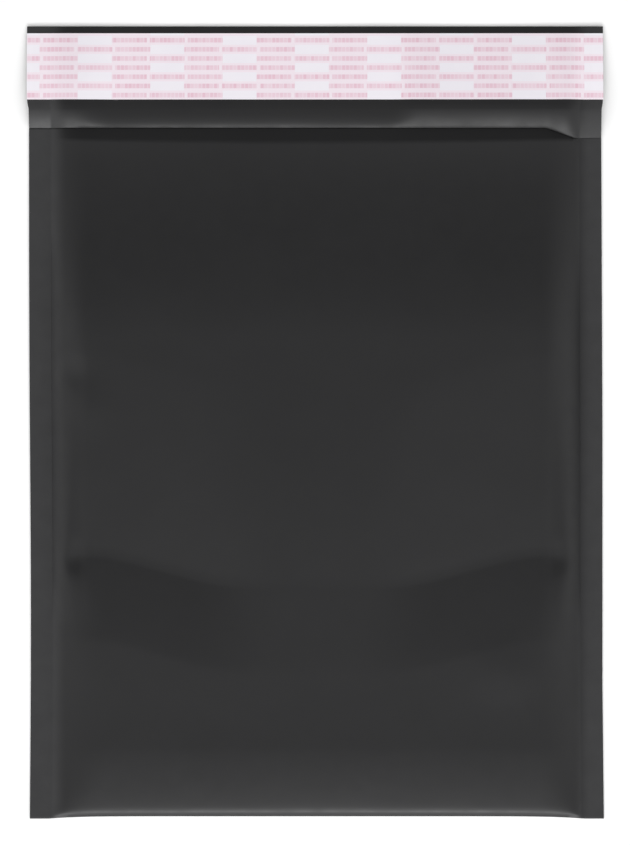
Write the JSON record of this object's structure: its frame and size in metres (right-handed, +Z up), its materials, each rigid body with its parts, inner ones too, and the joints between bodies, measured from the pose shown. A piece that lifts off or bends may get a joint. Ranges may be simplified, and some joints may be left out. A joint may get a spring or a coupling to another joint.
{
  "type": "padded envelope",
  "caption": "Self-seal padded mailing envelope in black film with a bubble-film lining, lying flat with its flap open and its release liner on.",
  "frame": {"origin": "middle of the area that the envelope lies on", "axes": "+Y along the envelope towards its flap, +X across it, +Z up out of the front panel"},
  "size_m": [0.24, 0.331, 0.0122],
  "materials": {
    "film": "satin black polyethylene film",
    "bubble_film": "milky bubble film",
    "adhesive": "tacky hot-melt strip",
    "liner": "coated release liner with a pink printed pattern"
  },
  "bodies": {
    "root": {"outer_shell": "film", "bubble_lining": "bubble_film", "adhesive_strip": "adhesive", "release_liner": "liner"}
  },
  "joints": []
}
